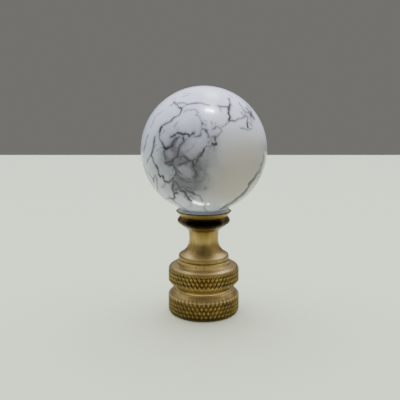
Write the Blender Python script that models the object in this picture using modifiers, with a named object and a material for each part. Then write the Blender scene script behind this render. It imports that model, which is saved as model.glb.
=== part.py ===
"""A lamp shade finial: a polished stone ball seated on a turned brass base.

Metres, +Z up. The origin is the centre of the flat underside, and every height is
stacked up from there. The base is one turned piece, from its two knurled rings up to
the thin lip of the dish that the ball sits in."""

import math

import bmesh
import bpy
from mathutils import Matrix, Vector

MM = 0.001

# The ball and the dish that it sits in
BALL_RADIUS = 15.0 * MM
SEAT_RADIUS = 4.0 * MM
SEAT_CLEARANCE = 0.3 * MM
DISH_RISE = 0.26 * MM
LIP_RADIUS = 6.77 * MM
LIP_EDGE_HEIGHT = 0.1 * MM
LIP_EDGE_WIDTH = 0.1 * MM

# The cove under the lip, and the torus under that
COVE_DEPTH = 1.04 * MM
COVE_HEIGHT = 1.23 * MM
TORUS_RADIUS = 6.8 * MM
TORUS_TOP_HEIGHT = 1.22 * MM
TORUS_UNDER_HEIGHT = 1.18 * MM
TORUS_FOOT_RADIUS = 5.23 * MM
TORUS_ROUND = 0.78 * MM

# The neck, hollowed under the torus and swept out to the bead
NECK_TOP_RADIUS = 3.72 * MM
NECK_TOP_HEIGHT = 1.13 * MM
NECK_TOP_ROUND = 1.2 * MM
WAIST_RADIUS = 3.45 * MM
WAIST_HEIGHT = 4.7 * MM
WAIST_ROUND = 4.25 * MM
SKIRT_HEIGHT = 1.38 * MM

# The bead, the crease under it and the short collar
BEAD_RADIUS = 6.24 * MM
BEAD_HEIGHT = 0.96 * MM
BEAD_ROUND = 0.8 * MM
CREASE_DEPTH = 0.3 * MM
CREASE_HEIGHT = 0.2 * MM
COLLAR_RADIUS = 6.36 * MM
COLLAR_HEIGHT = 1.05 * MM

# The upper knurled ring, its rounded shoulder and its chamfer
UPPER_RING_RADIUS = 8.75 * MM
SHOULDER_RISE = 0.25 * MM
SHOULDER_HEIGHT = 1.08 * MM
SHOULDER_ROUND = 1.2 * MM
UPPER_BAND_HEIGHT = 2.6 * MM
CHAMFER_HEIGHT = 1.85 * MM

# The groove between the rings
GROOVE_DEPTH = 1.6 * MM
GROOVE_WIDTH = 0.3 * MM

# The lower knurled ring, its sloped edge and its foot
LOWER_RING_RADIUS = 8.84 * MM
SLOPE_WIDTH = 1.42 * MM
SLOPE_HEIGHT = 1.5 * MM
SLOPE_ROUND = 0.4 * MM
LOWER_BAND_HEIGHT = 3.79 * MM
FOOT_CHAMFER = 0.36 * MM

# The diamond knurl on both rings
KNURL_COUNT = 52
KNURL_DEPTH = 0.34 * MM
KNURL_ROW_HEIGHT = 0.95 * MM

# The blind socket in the underside, as wide as the thread of the stud that it takes
SOCKET_RADIUS = 3.175 * MM
SOCKET_DEPTH = 9.0 * MM
SOCKET_POINT_HEIGHT = 1.5 * MM
COUNTERSINK = 0.5 * MM

# How finely the round shapes are divided
ARC_STEP = math.radians(18.0)
DISH_STEPS = 2
BALL_SEGMENTS = 48
BALL_RINGS = 24
SHARP_ANGLE = math.radians(32.0)
WELD = 0.001 * MM

# Colours as linear light, with roughness and metallic value
STONE_LOOK = ((0.62, 0.64, 0.66, 1.0), 0.12, 0.0)
BRASS_LOOK = ((0.36, 0.27, 0.12, 1.0), 0.38, 1.0)

# Heights, from the underside up
LOWER_BAND_BASE = FOOT_CHAMFER
SLOPE_BASE = LOWER_BAND_BASE + LOWER_BAND_HEIGHT
GROOVE_BASE = SLOPE_BASE + SLOPE_HEIGHT
CHAMFER_BASE = GROOVE_BASE + GROOVE_WIDTH
UPPER_BAND_BASE = CHAMFER_BASE + CHAMFER_HEIGHT
UPPER_BAND_TOP = UPPER_BAND_BASE + UPPER_BAND_HEIGHT
SHOULDER_TOP = UPPER_BAND_TOP + SHOULDER_HEIGHT
COLLAR_BASE = SHOULDER_TOP + SHOULDER_RISE
CREASE_BASE = COLLAR_BASE + COLLAR_HEIGHT
BEAD_BASE = CREASE_BASE + 2 * CREASE_HEIGHT
BEAD_TOP = BEAD_BASE + BEAD_HEIGHT
WAIST_BASE = BEAD_TOP + SKIRT_HEIGHT
WAIST_TOP = WAIST_BASE + WAIST_HEIGHT
TORUS_BASE = WAIST_TOP + NECK_TOP_HEIGHT
TORUS_MIDDLE = TORUS_BASE + TORUS_UNDER_HEIGHT
COVE_BASE = TORUS_MIDDLE + TORUS_TOP_HEIGHT
LIP_BASE = COVE_BASE + COVE_HEIGHT
LIP_TOP = LIP_BASE + LIP_EDGE_HEIGHT
SEAT_EDGE = LIP_TOP - DISH_RISE
SEAT_SPHERE = BALL_RADIUS + SEAT_CLEARANCE
BALL_HEIGHT = SEAT_EDGE + math.sqrt(SEAT_SPHERE**2 - SEAT_RADIUS**2)


def clear_scene():
    """Removes every object, so that the model stands alone."""
    for obj in list(bpy.data.objects):
        bpy.data.objects.remove(obj, do_unlink=True)


def named_collection(name):
    """A new collection, linked to the scene."""
    collection = bpy.data.collections.new(name)
    bpy.context.scene.collection.children.link(collection)
    return collection


def move_to(obj, collection):
    """Takes an object out of the collections that hold it, and into this one."""
    for holder in list(obj.users_collection):
        holder.objects.unlink(obj)
    collection.objects.link(obj)


def surface(name, look):
    """A plain Principled material from a colour, a roughness and a metallic value."""
    colour, roughness, metallic = look
    material = bpy.data.materials.new(name)
    material.use_nodes = True
    shader = material.node_tree.nodes["Principled BSDF"]
    shader.inputs["Base Color"].default_value = colour
    shader.inputs["Roughness"].default_value = roughness
    shader.inputs["Metallic"].default_value = metallic
    return material


def round_reaches(places, sizes):
    """How far each corner's round reaches along its two walls, shared out where a wall is short."""
    reaches = [0.0] * len(places)
    for i in range(1, len(places) - 1):
        half = (places[i - 1] - places[i]).angle(places[i + 1] - places[i]) / 2
        reaches[i] = sizes[i] / math.tan(half)
    shares = []
    for i in range(len(places) - 1):
        wanted = reaches[i] + reaches[i + 1]
        wall = (places[i + 1] - places[i]).length
        shares.append(min(1.0, wall / wanted) if wanted else 1.0)
    return [reaches[i] * min(shares[i - 1], shares[i]) for i in range(1, len(places) - 1)]


def arc_points(corner, to_before, to_after, reach):
    """The points of the arc that touches both walls of a corner at its reach."""
    half = to_before.angle(to_after) / 2
    centre = corner + (to_before + to_after).normalized() * (reach / math.cos(half))
    spoke = corner + to_before * reach - centre
    side = math.copysign(1.0, to_before.y * to_after.x - to_before.x * to_after.y)
    turn = side * (math.pi - 2 * half)
    steps = math.ceil(abs(turn) / ARC_STEP)
    return [centre + Matrix.Rotation(turn * step / steps, 2) @ spoke for step in range(steps + 1)]


def rounded(corners):
    """The way along corners of (radius, height, round), each turned at its own round."""
    places = [Vector(corner[:2]) for corner in corners]
    reaches = round_reaches(places, [corner[2] for corner in corners])
    path = [places[0]]
    for before, corner, after, reach in zip(places, places[1:], places[2:], reaches):
        if reach == 0:
            path.append(corner)
        else:
            path += arc_points(corner, (before - corner).normalized(), (after - corner).normalized(), reach)
    if (places[-1] - path[-1]).length > WELD:
        path.append(places[-1])
    return path


def dish_profile():
    """The seat under the ball, a part of a sphere, from the axis out to the open dish."""
    widest = math.asin(SEAT_RADIUS / SEAT_SPHERE)
    centre = Vector((0.0, BALL_HEIGHT))
    spoke = Vector((0.0, -SEAT_SPHERE))
    turns = (Matrix.Rotation(widest * step / DISH_STEPS, 2) for step in range(DISH_STEPS + 1))
    return [centre + turn @ spoke for turn in turns]


def stem_profile():
    """From the top of the lip down to the foot of the collar and over the shoulder."""
    crease_radius = COLLAR_RADIUS - CREASE_DEPTH
    return rounded([
        (LIP_RADIUS - LIP_EDGE_WIDTH, LIP_TOP, 0),
        (LIP_RADIUS, LIP_BASE, 0),
        (LIP_RADIUS - COVE_DEPTH, COVE_BASE, 0),
        (TORUS_RADIUS, TORUS_MIDDLE, TORUS_ROUND),
        (TORUS_FOOT_RADIUS, TORUS_BASE, 0),
        (NECK_TOP_RADIUS, WAIST_TOP, NECK_TOP_ROUND),
        (WAIST_RADIUS, WAIST_BASE, WAIST_ROUND),
        (BEAD_RADIUS, BEAD_TOP, BEAD_ROUND),
        (BEAD_RADIUS, BEAD_BASE, 0),
        (crease_radius, CREASE_BASE + CREASE_HEIGHT, 0),
        (COLLAR_RADIUS, CREASE_BASE, 0),
        (COLLAR_RADIUS, COLLAR_BASE, 0),
        (UPPER_RING_RADIUS, SHOULDER_TOP, SHOULDER_ROUND),
        (UPPER_RING_RADIUS, UPPER_BAND_TOP, 0),
    ])


def groove_profile():
    """Under the upper knurl: its chamfer, the groove, and the slope of the lower ring."""
    groove_radius = UPPER_RING_RADIUS - GROOVE_DEPTH
    return rounded([
        (UPPER_RING_RADIUS, UPPER_BAND_BASE, 0),
        (groove_radius, CHAMFER_BASE, 0),
        (groove_radius, GROOVE_BASE, 0),
        (LOWER_RING_RADIUS - SLOPE_WIDTH, GROOVE_BASE, 0),
        (LOWER_RING_RADIUS, SLOPE_BASE, SLOPE_ROUND),
        (LOWER_RING_RADIUS, LOWER_BAND_BASE, 0),
    ])


def foot_profile():
    """The chamfered foot, the flat underside, and the blind socket up to its point."""
    return [Vector(point) for point in (
        (LOWER_RING_RADIUS - FOOT_CHAMFER, 0.0),
        (SOCKET_RADIUS + COUNTERSINK, 0.0),
        (SOCKET_RADIUS, COUNTERSINK),
        (SOCKET_RADIUS, SOCKET_DEPTH),
        (0.0, SOCKET_DEPTH + SOCKET_POINT_HEIGHT),
    )]


def knurl_rows(top, base):
    """The heights of a knurl's rows, spread evenly over its band."""
    count = max(2, round((top - base) / KNURL_ROW_HEIGHT))
    return [top + (base - top) * row / count for row in range(count + 1)]


def turned_mesh(name, path):
    """The profile turned once round the axis, with one step for each tooth of the knurl."""
    outline = bpy.data.meshes.new(name + "_profile")
    points = [(point.x, 0.0, point.y) for point in path]
    outline.from_pydata(points, [(i, i + 1) for i in range(len(points) - 1)], [])
    guide = bpy.data.objects.new(name + "_profile", outline)
    bpy.context.scene.collection.objects.link(guide)
    screw = guide.modifiers.new("turn", "SCREW")
    screw.steps = KNURL_COUNT
    screw.render_steps = KNURL_COUNT
    screw.use_merge_vertices = True
    screw.merge_threshold = WELD
    bpy.context.view_layer.update()
    turned = bpy.data.meshes.new_from_object(guide.evaluated_get(bpy.context.evaluated_depsgraph_get()))
    bpy.data.objects.remove(guide, do_unlink=True)
    bpy.data.meshes.remove(outline)
    return turned


def cut_knurl(body, radius, rows):
    """Cuts crossing grooves into a band, which leaves rows of diamond points between them.

    Points and crossings take turns along each row and from row to row, and every face
    between them is folded along its groove."""
    near = KNURL_DEPTH / 20
    tooth = math.pi / KNURL_COUNT
    chord = radius * math.cos(tooth)

    def row_of(vertex):
        if math.hypot(vertex.co.x, vertex.co.y) < chord - near:
            return None
        return next((i for i, height in enumerate(rows) if abs(vertex.co.z - height) < near), None)

    found = {vertex: row_of(vertex) for vertex in body.verts}
    ring_edges = [edge for edge in body.edges
                  if found[edge.verts[0]] is not None and found[edge.verts[0]] == found[edge.verts[1]]]
    bmesh.ops.subdivide_edges(body, edges=ring_edges, cuts=1, use_single_edge=True)
    band = {vertex for vertex in body.verts if row_of(vertex) is not None}
    crossings = set()
    for vertex in band:
        column = round(math.atan2(vertex.co.y, vertex.co.x) / tooth)
        reach = radius
        if (row_of(vertex) + column) % 2:
            reach -= KNURL_DEPTH
            crossings.add(vertex)
        vertex.co.x = reach * math.cos(column * tooth)
        vertex.co.y = reach * math.sin(column * tooth)
    for face in list(body.faces):
        low = [vertex for vertex in face.verts if vertex in crossings]
        if len(face.verts) == 4 and len(low) == 2 and band.issuperset(face.verts):
            bmesh.utils.face_split(face, low[0], low[1])


def build_base(collection):
    """The brass base, turned from its profile and knurled on both rings."""
    upper_rows = knurl_rows(UPPER_BAND_TOP, UPPER_BAND_BASE)
    groove = groove_profile()
    lower_rows = knurl_rows(groove[-2].y, LOWER_BAND_BASE)
    path = dish_profile() + stem_profile()
    path += [Vector((UPPER_RING_RADIUS, height)) for height in upper_rows[1:-1]]
    path += groove[:-1]
    path += [Vector((LOWER_RING_RADIUS, height)) for height in lower_rows[1:]]
    path += foot_profile()
    mesh = turned_mesh("brass_base", path)
    body = bmesh.new()
    body.from_mesh(mesh)
    cut_knurl(body, UPPER_RING_RADIUS, upper_rows)
    cut_knurl(body, LOWER_RING_RADIUS, lower_rows)
    body.to_mesh(mesh)
    body.free()
    mesh.shade_smooth()
    mesh.set_sharp_from_angle(angle=SHARP_ANGLE)
    mesh.materials.append(surface("antique_brass", BRASS_LOOK))
    base = bpy.data.objects.new("brass_base", mesh)
    collection.objects.link(base)
    return base


def build_ball(collection):
    """The stone ball, with its origin at its centre."""
    bpy.ops.mesh.primitive_uv_sphere_add(segments=BALL_SEGMENTS, ring_count=BALL_RINGS, radius=BALL_RADIUS)
    ball = bpy.context.object
    ball.name = "stone_ball"
    ball.data.name = "stone_ball"
    ball.data.shade_smooth()
    ball.data.materials.append(surface("polished_stone", STONE_LOOK))
    ball.location = (0.0, 0.0, BALL_HEIGHT)
    move_to(ball, collection)
    return ball


def main():
    clear_scene()
    collection = named_collection("lamp_shade_finial")
    stand = bpy.data.objects.new("finial_origin", None)
    collection.objects.link(stand)
    for piece in (build_base(collection), build_ball(collection)):
        piece.parent = stand


main()
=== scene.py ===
"""The looks of a lamp shade finial: a polished howlite ball on an antique brass base.

Lengths are in metres. The ball and the base are built here as fine meshes, each in
the place of the plain solid of the same name. The camera stands where the photograph
was taken, and the veins of the ball are placed as they are seen from there."""

import math

import bmesh
import bpy
import numpy as np
from mathutils import Matrix, Vector, noise


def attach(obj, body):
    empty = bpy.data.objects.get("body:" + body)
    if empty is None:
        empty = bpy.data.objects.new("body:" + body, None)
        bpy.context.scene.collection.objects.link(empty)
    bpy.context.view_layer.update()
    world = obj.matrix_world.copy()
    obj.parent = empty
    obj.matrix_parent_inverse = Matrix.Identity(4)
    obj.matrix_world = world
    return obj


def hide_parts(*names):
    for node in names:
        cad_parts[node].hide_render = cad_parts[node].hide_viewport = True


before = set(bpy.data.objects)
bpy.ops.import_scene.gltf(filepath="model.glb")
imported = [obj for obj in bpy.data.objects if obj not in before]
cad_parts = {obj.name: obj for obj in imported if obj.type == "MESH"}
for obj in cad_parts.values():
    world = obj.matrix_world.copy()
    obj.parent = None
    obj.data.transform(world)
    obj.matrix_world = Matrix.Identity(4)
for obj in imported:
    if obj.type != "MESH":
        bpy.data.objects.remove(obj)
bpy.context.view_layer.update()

MM = 0.001
FULL_TURN = 2 * math.pi

# The camera, fitted to the perspective of the photograph
CAMERA_PLACE = Vector((-0.915, -110.0, 44.4)) * MM
CAMERA_TILT = math.radians(8.72)
CAMERA_LENS = 41.11
SENSOR_WIDTH = 36.0

# The ball
BALL_RADIUS = 15.0 * MM
BALL_STEPS = 124
BALL_UNEVENNESS = 0.0015
SEAT_RADIUS = 4.0 * MM
SEAT_CLEARANCE = 0.3 * MM

# The lip, the cove under it and the torus
DISH_RISE = 0.26 * MM
LIP_RADIUS = 6.77 * MM
LIP_EDGE_HEIGHT = 0.1 * MM
LIP_EDGE_WIDTH = 0.1 * MM
COVE_DEPTH = 1.04 * MM
COVE_HEIGHT = 1.23 * MM
TORUS_RADIUS = 6.8 * MM
TORUS_TOP_HEIGHT = 1.22 * MM
TORUS_UNDER_HEIGHT = 1.18 * MM
TORUS_FOOT_RADIUS = 5.23 * MM
TORUS_ROUND = 0.78 * MM

# The neck, the bead and the collar
NECK_TOP_RADIUS = 3.72 * MM
NECK_TOP_HEIGHT = 1.13 * MM
NECK_TOP_ROUND = 1.2 * MM
WAIST_RADIUS = 3.45 * MM
WAIST_HEIGHT = 4.7 * MM
WAIST_ROUND = 4.25 * MM
SKIRT_HEIGHT = 1.38 * MM
BEAD_RADIUS = 6.24 * MM
BEAD_HEIGHT = 0.96 * MM
BEAD_ROUND = 0.8 * MM
CREASE_DEPTH = 0.3 * MM
CREASE_HEIGHT = 0.2 * MM
COLLAR_RADIUS = 6.36 * MM
COLLAR_HEIGHT = 1.05 * MM

# The two knurled rings and the groove between them
UPPER_RING_RADIUS = 8.75 * MM
SHOULDER_RISE = 0.25 * MM
SHOULDER_HEIGHT = 1.08 * MM
SHOULDER_ROUND = 1.2 * MM
UPPER_BAND_HEIGHT = 2.6 * MM
CHAMFER_HEIGHT = 1.85 * MM
GROOVE_DEPTH = 1.6 * MM
GROOVE_WIDTH = 0.3 * MM
LOWER_RING_RADIUS = 8.84 * MM
SLOPE_WIDTH = 1.42 * MM
SLOPE_HEIGHT = 1.5 * MM
SLOPE_ROUND = 0.4 * MM
LOWER_BAND_HEIGHT = 3.79 * MM
FOOT_CHAMFER = 0.36 * MM

# The diamond knurl
KNURL_COUNT = 52
KNURL_DEPTH = 0.36 * MM
KNURL_DIAMOND_HEIGHT = 2.0 * MM
KNURL_GROOVE_SHARE = 0.6
KNURL_RUN_OUT = 0.4 * MM
# How far painted shade shifts the grooves' darkness to one direction of groove on each side
GROOVE_SHADE_SHIFT = 0.6

# The socket, with the 1/4-27 thread of a stud
SOCKET_RADIUS = 3.175 * MM
SOCKET_DEPTH = 9.0 * MM
SOCKET_POINT_HEIGHT = 1.5 * MM
COUNTERSINK = 0.5 * MM
THREAD_PITCH = 25.4 * MM / 27
THREAD_DEPTH = 0.5 * MM
THREAD_STEP = 0.1 * MM
SOCKET_COLUMNS = 48

# How finely the base is divided
KNURL_STEPS = 12
COLUMNS = KNURL_STEPS * KNURL_COUNT
ARC_STEP = math.radians(11.0)
WALL_STEP = 0.52 * MM
KNURL_STEP = KNURL_DIAMOND_HEIGHT / KNURL_STEPS
EDGE_ROUND = 0.05 * MM
SHORTEST_CHORD = 0.05 * MM
DISH_STEPS = 8
SHARP_ANGLE = math.radians(50.0)
WELD = 0.001 * MM

# Heights, from the underside up
LOWER_BAND_BASE = FOOT_CHAMFER
SLOPE_BASE = LOWER_BAND_BASE + LOWER_BAND_HEIGHT
GROOVE_BASE = SLOPE_BASE + SLOPE_HEIGHT
CHAMFER_BASE = GROOVE_BASE + GROOVE_WIDTH
UPPER_BAND_BASE = CHAMFER_BASE + CHAMFER_HEIGHT
UPPER_BAND_TOP = UPPER_BAND_BASE + UPPER_BAND_HEIGHT
SHOULDER_TOP = UPPER_BAND_TOP + SHOULDER_HEIGHT
COLLAR_BASE = SHOULDER_TOP + SHOULDER_RISE
CREASE_BASE = COLLAR_BASE + COLLAR_HEIGHT
BEAD_BASE = CREASE_BASE + 2 * CREASE_HEIGHT
BEAD_TOP = BEAD_BASE + BEAD_HEIGHT
WAIST_BASE = BEAD_TOP + SKIRT_HEIGHT
WAIST_TOP = WAIST_BASE + WAIST_HEIGHT
TORUS_BASE = WAIST_TOP + NECK_TOP_HEIGHT
TORUS_MIDDLE = TORUS_BASE + TORUS_UNDER_HEIGHT
COVE_BASE = TORUS_MIDDLE + TORUS_TOP_HEIGHT
LIP_BASE = COVE_BASE + COVE_HEIGHT
LIP_TOP = LIP_BASE + LIP_EDGE_HEIGHT
SEAT_EDGE = LIP_TOP - DISH_RISE
SEAT_SPHERE = BALL_RADIUS + SEAT_CLEARANCE
BALL_HEIGHT = SEAT_EDGE + math.sqrt(SEAT_SPHERE**2 - SEAT_RADIUS**2)

# Heights on the neck and the torus where the brass changes its tone, its painted shade and its painted
# highlight
NECK_DARK_BASE = WAIST_TOP - 0.9 * MM
WAIST_BRIGHT_BASE = WAIST_BASE + 1.38 * MM
WAIST_BRIGHT_TOP = WAIST_BASE + 2.68 * MM
TORUS_DARK_BASE = TORUS_BASE + 0.25 * MM

# The veins that the photograph shows, as (half width in mm, darkness, points). A point is
# (right, up) from the ball's middle as the camera sees it, in parts of the ball's radius.
VEINS = (
    # From the top left down to the dark knot
    (0.2, 0.8, ((-0.48, 0.78), (-0.43, 0.72), (-0.4, 0.69), (-0.36, 0.67))),
    (0.3, 0.95, ((-0.38, 0.68), (-0.35, 0.67))),
    (0.18, 0.75, ((-0.36, 0.67), (-0.36, 0.63), (-0.39, 0.57), (-0.47, 0.52), (-0.54, 0.46), (-0.62, 0.42))),
    (0.24, 0.7, ((-0.58, 0.43), (-0.63, 0.41))),
    (0.28, 0.95, ((-0.67, 0.37), (-0.69, 0.33), (-0.7, 0.3))),
    (0.17, 0.65, ((-0.7, 0.3), (-0.7, 0.26), (-0.71, 0.2), (-0.69, 0.17), (-0.65, 0.11), (-0.63, 0.06))),
    (0.15, 0.45, ((-0.73, 0.28), (-0.73, 0.21))),
    (0.13, 0.4, ((-0.65, 0.36), (-0.63, 0.31), (-0.66, 0.27))),
    (0.3, 1.0, ((-0.63, 0.055), (-0.6, 0.02), (-0.565, 0.045))),
    (0.14, 0.8, ((-0.58, 0.04), (-0.51, 0.07), (-0.48, 0.13), (-0.45, 0.17), (-0.42, 0.2), (-0.39, 0.21))),
    (0.11, 0.5, ((-0.6, 0.02), (-0.63, -0.03), (-0.62, -0.09), (-0.6, -0.15))),
    (0.15, 0.4, ((-0.42, 0.44), (-0.47, 0.38))),
    (0.14, 0.35, ((-0.65, 0.63), (-0.72, 0.58), (-0.78, 0.53), (-0.8, 0.47), (-0.84, 0.37))),
    # The dark bar in the middle, and what hangs from it
    (0.16, 0.75, ((-0.52, 0.22), (-0.47, 0.24), (-0.43, 0.27))),
    (0.22, 1.0, ((-0.43, 0.27), (-0.38, 0.26), (-0.32, 0.25), (-0.25, 0.25), (-0.21, 0.23))),
    (0.23, 0.95, ((-0.23, 0.22), (-0.2, 0.25), (-0.17, 0.27))),
    (0.14, 0.65, ((-0.19, 0.24), (-0.14, 0.23), (-0.08, 0.23), (-0.05, 0.25), (-0.04, 0.33))),
    (0.19, 0.85, ((-0.33, 0.2), (-0.32, 0.14))),
    (0.12, 0.6, ((-0.28, 0.18), (-0.31, 0.12))),
    (0.13, 0.7, ((-0.32, 0.14), (-0.36, 0.1), (-0.39, 0.05), (-0.4, 0.0), (-0.41, -0.06))),
    (0.16, 0.85, ((-0.41, -0.06), (-0.43, -0.11), (-0.47, -0.13), (-0.5, -0.16))),
    (0.17, 0.95, ((-0.61, -0.2), (-0.55, -0.18), (-0.49, -0.16))),
    (0.17, 0.9, ((-0.49, -0.17), (-0.51, -0.21), (-0.54, -0.23))),
    (0.12, 0.65, ((-0.54, -0.23), (-0.57, -0.22), (-0.6, -0.2))),
    (0.14, 0.75, ((-0.5, -0.22), (-0.47, -0.27), (-0.44, -0.32), (-0.44, -0.38), (-0.47, -0.42))),
    (0.16, 0.8, ((-0.47, -0.42), (-0.51, -0.47), (-0.56, -0.5))),
    (0.22, 0.9, ((-0.54, -0.5), (-0.57, -0.51))),
    (0.1, 0.5, ((-0.44, -0.12), (-0.36, -0.1), (-0.315, -0.072))),
    (0.1, 0.45, ((-0.44, -0.32), (-0.38, -0.36), (-0.33, -0.42), (-0.34, -0.5))),
    # The triangle right of it, and the lines that meet there
    (0.15, 0.85, ((-0.315, -0.072), (-0.28, -0.12), (-0.236, -0.165), (-0.186, -0.18))),
    (0.1, 0.45, ((-0.315, -0.072), (-0.35, -0.115), (-0.387, -0.16))),
    (0.15, 0.85, ((-0.4, -0.23), (-0.35, -0.212), (-0.286, -0.187), (-0.236, -0.172))),
    (0.1, 0.5, ((-0.286, -0.187), (-0.286, -0.225))),
    (0.15, 0.75, ((-0.186, -0.18), (-0.136, -0.151), (-0.085, -0.108), (-0.042, -0.065))),
    (0.18, 0.85, ((-0.042, -0.065), (-0.006, -0.014), (0.014, 0.034))),
    (0.13, 0.6, ((0.014, 0.034), (0.057, 0.063), (0.107, 0.063))),
    (0.17, 0.9, ((-0.182, -0.194), (-0.168, -0.23), (-0.143, -0.244), (-0.121, -0.194), (-0.093, -0.151))),
    (0.17, 0.8, ((-0.179, -0.251), (-0.143, -0.302))),
    (0.17, 0.6, ((-0.15, -0.29), (-0.12, -0.35), (-0.11, -0.4), (-0.15, -0.44))),
    # The long vein down the left side, and the lines at the rim
    (0.2, 0.7, ((-0.78, 0.21), (-0.79, 0.15), (-0.8, 0.05))),
    (0.18, 0.35, ((-0.79, 0.1), (-0.76, 0.08))),
    (0.2, 0.8, ((-0.8, 0.05), (-0.82, -0.02), (-0.83, -0.08), (-0.81, -0.13))),
    (0.17, 0.75, ((-0.81, -0.13), (-0.79, -0.2), (-0.75, -0.27), (-0.73, -0.32), (-0.72, -0.37))),
    (0.22, 0.85, ((-0.72, -0.37), (-0.69, -0.42))),
    (0.22, 0.85, ((-0.69, -0.42), (-0.65, -0.42), (-0.63, -0.48), (-0.6, -0.5), (-0.56, -0.5))),
    (0.16, 0.65, ((-0.83, -0.08), (-0.86, -0.1), (-0.89, -0.15), (-0.91, -0.2))),
    (0.16, 0.55, ((-0.89, 0.24), (-0.92, 0.16), (-0.93, 0.08), (-0.95, 0.03), (-0.955, -0.03))),
    (0.24, 0.8, ((-0.8, -0.44), (-0.8, -0.51))),
    (0.15, 0.55, ((-0.77, -0.4), (-0.79, -0.45))),
    (0.18, 0.7, ((-0.75, -0.44), (-0.75, -0.5), (-0.74, -0.61),
                 (-0.73, -0.67), (-0.69, -0.72), (-0.64, -0.76))),
    (0.18, 0.6, ((-0.95, -0.25), (-0.925, -0.33), (-0.89, -0.42), (-0.84, -0.52), (-0.8, -0.59))),
    (0.16, 0.6, ((-0.87, -0.37), (-0.82, -0.45))),
    # The lower left
    (0.19, 0.85, ((-0.49, -0.52), (-0.5, -0.6), (-0.49, -0.65), (-0.47, -0.68))),
    (0.12, 0.55, ((-0.56, -0.5), (-0.5, -0.49), (-0.45, -0.51))),
    (0.12, 0.5, ((-0.44, -0.38), (-0.38, -0.42), (-0.34, -0.47))),
    (0.12, 0.55, ((-0.49, -0.65), (-0.44, -0.63), (-0.4, -0.6))),
    (0.12, 0.5, ((-0.4, -0.6), (-0.33, -0.58), (-0.27, -0.6), (-0.2, -0.62))),
    (0.12, 0.5, ((-0.27, -0.73), (-0.2, -0.74), (-0.15, -0.78))),
    (0.12, 0.45, ((-0.6, -0.5), (-0.62, -0.56), (-0.68, -0.6))),
    (0.12, 0.4, ((-0.11, -0.4), (-0.13, -0.47), (-0.1, -0.52))),
    (0.24, 0.95, ((-0.43, -0.68), (-0.47, -0.69), (-0.47, -0.73), (-0.47, -0.76))),
    (0.24, 0.85, ((-0.47, -0.76), (-0.51, -0.78))),
    (0.2, 0.75, ((-0.51, -0.78), (-0.55, -0.76), (-0.58, -0.78))),
    (0.15, 0.6, ((-0.545, -0.72), (-0.54, -0.76))),
    (0.19, 0.65, ((-0.51, -0.78), (-0.45, -0.83), (-0.39, -0.87), (-0.32, -0.92), (-0.28, -0.94))),
    (0.17, 0.75, ((-0.45, -0.51), (-0.42, -0.55), (-0.4, -0.6), (-0.36, -0.65))),
    (0.24, 0.85, ((-0.36, -0.65), (-0.32, -0.66), (-0.29, -0.69),
                  (-0.27, -0.73), (-0.24, -0.78), (-0.2, -0.81))),
    (0.18, 0.7, ((-0.29, -0.63), (-0.23, -0.66), (-0.18, -0.67), (-0.13, -0.71))),
    (0.18, 0.5, ((-0.13, -0.71), (-0.07, -0.73), (-0.04, -0.76), (-0.02, -0.81))),
    (0.15, 0.6, ((-0.31, -0.69), (-0.31, -0.75))),
    (0.13, 0.5, ((-0.4, -0.44), (-0.35, -0.47), (-0.3, -0.48), (-0.25, -0.51), (-0.19, -0.5))),
    (0.15, 0.55, ((0.0, -0.87), (0.02, -0.95), (0.06, -0.975))),
    (0.2, 0.3, ((-0.2, -0.82), (-0.2, -0.88), (-0.25, -0.9))),
    # Over the top
    (0.17, 0.7, ((-0.52, 0.72), (-0.48, 0.75))),
    (0.17, 0.65, ((-0.43, 0.73), (-0.4, 0.745), (-0.35, 0.755), (-0.3, 0.75), (-0.27, 0.73))),
    (0.2, 0.75, ((-0.27, 0.73), (-0.23, 0.74), (-0.16, 0.75), (-0.09, 0.75), (-0.01, 0.74), (0.08, 0.72))),
    (0.15, 0.5, ((-0.27, 0.73), (-0.31, 0.7), (-0.35, 0.68))),
    (0.16, 0.45, ((-0.31, 0.61), (-0.27, 0.64), (-0.19, 0.64), (-0.13, 0.64), (-0.1, 0.61), (-0.06, 0.61))),
    (0.16, 0.5, ((-0.1, 0.6), (-0.11, 0.56), (-0.06, 0.54), (-0.065, 0.5), (-0.03, 0.46))),
    (0.24, 0.75, ((-0.02, 0.44), (-0.02, 0.42))),
    (0.14, 0.5, ((-0.02, 0.42), (-0.04, 0.33))),
    (0.14, 0.45, ((-0.31, 0.86), (-0.26, 0.88), (-0.21, 0.9))),
    (0.12, 0.35, ((-0.31, 0.9), (-0.26, 0.915))),
    (0.12, 0.35, ((-0.45, 0.84), (-0.5, 0.82))),
    (0.14, 0.45, ((0.0, 0.47), (0.06, 0.46))),
    (0.16, 0.45, ((0.02, 0.42), (0.025, 0.39))),
    # The right shoulder of the ball
    (0.22, 0.8, ((0.4, 0.83), (0.41, 0.79), (0.42, 0.74))),
    (0.32, 0.95, ((0.42, 0.74), (0.41, 0.7), (0.4, 0.64))),
    (0.22, 0.85, ((0.4, 0.64), (0.4, 0.59), (0.42, 0.54), (0.4, 0.46))),
    (0.19, 0.75, ((0.22, 0.71), (0.26, 0.695), (0.31, 0.69), (0.37, 0.68), (0.4, 0.67))),
    (0.16, 0.5, ((0.22, 0.71), (0.26, 0.66), (0.265, 0.62))),
    (0.19, 0.7, ((0.4, 0.465), (0.44, 0.47), (0.49, 0.47), (0.54, 0.5),
                 (0.58, 0.505), (0.62, 0.515), (0.65, 0.54))),
    (0.2, 0.8, ((0.65, 0.54), (0.7, 0.52), (0.69, 0.47), (0.688, 0.44))),
    (0.28, 0.85, ((0.69, 0.43), (0.7, 0.39), (0.703, 0.36))),
    (0.14, 0.5, ((0.7, 0.45), (0.74, 0.43), (0.76, 0.4))),
    (0.15, 0.5, ((0.581, 0.35), (0.653, 0.34), (0.696, 0.325), (0.76, 0.347))),
    (0.16, 0.65, ((0.56, 0.76), (0.585, 0.72), (0.613, 0.68), (0.638, 0.63), (0.66, 0.605), (0.67, 0.545))),
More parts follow.
